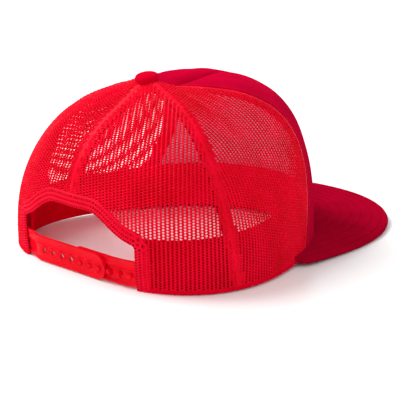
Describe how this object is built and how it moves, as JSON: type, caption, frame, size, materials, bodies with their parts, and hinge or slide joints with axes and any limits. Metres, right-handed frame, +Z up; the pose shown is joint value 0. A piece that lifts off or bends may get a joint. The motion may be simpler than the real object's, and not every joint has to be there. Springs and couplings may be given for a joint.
{
  "type": "trucker mesh cap",
  "caption": "Adult trucker cap: foam front panel, open mesh sides and back, wide stitched bill, covered button and a two-part plastic snap closure.",
  "frame": {"origin": "middle of the cap's bounding box on the surface it stands on", "axes": "+Z up, +Y from the bill to the rear opening, +X towards the wearer's left"},
  "size_m": [0.1822, 0.2504, 0.115],
  "materials": {
    "foam_front": "smooth face cloth laminated to foam",
    "mesh": "open knitted polyester mesh",
    "seam_tape": "folded woven tape",
    "sweatband": "matte twill",
    "binding": "folded mesh, double layer",
    "bill_cover": "matte twill with rows of stitching",
    "bill_board": "stiff sheet",
    "button": "cloth covered",
    "rivet": "satin",
    "strap": "soft moulded plastic, semi-gloss"
  },
  "bodies": {
    "cap": {"front_foam_panel": "foam_front", "side_mesh_left": "mesh", "side_mesh_right": "mesh", "back_mesh_left": "mesh", "back_mesh_right": "mesh", "front_seam_tape_left": "seam_tape", "front_seam_tape_right": "seam_tape", "side_seam_tape_left": "seam_tape", "side_seam_tape_right": "seam_tape", "back_seam_tape": "seam_tape", "sweatband": "sweatband", "arch_binding": "binding", "bill_top_cover": "bill_cover", "bill_board": "bill_board", "bill_under_cover": "bill_cover", "button_cap": "button", "button_rivet": "rivet", "socket_strap_tab": "strap", "stud_strap_tab": "strap"},
    "socket_strap": {"socket_strap": "strap"},
    "stud_strap": {"stud_strap": "strap"}
  },
  "joints": [
    {"name": "socket_strap_bend", "type": "hinge", "parent": "cap", "child": "socket_strap", "pos_m": [0.04625, 0.11512, 0.00031], "axis": [0, -0.1483, -0.9889], "range_deg": [0, 65], "stiffness_Nm_per_rad": 0.02},
    {"name": "stud_strap_bend", "type": "hinge", "parent": "cap", "child": "stud_strap", "pos_m": [-0.04625, 0.11512, 0.00031], "axis": [0, -0.1483, -0.9889], "range_deg": [0, 40], "stiffness_Nm_per_rad": 0.02}
  ]
}
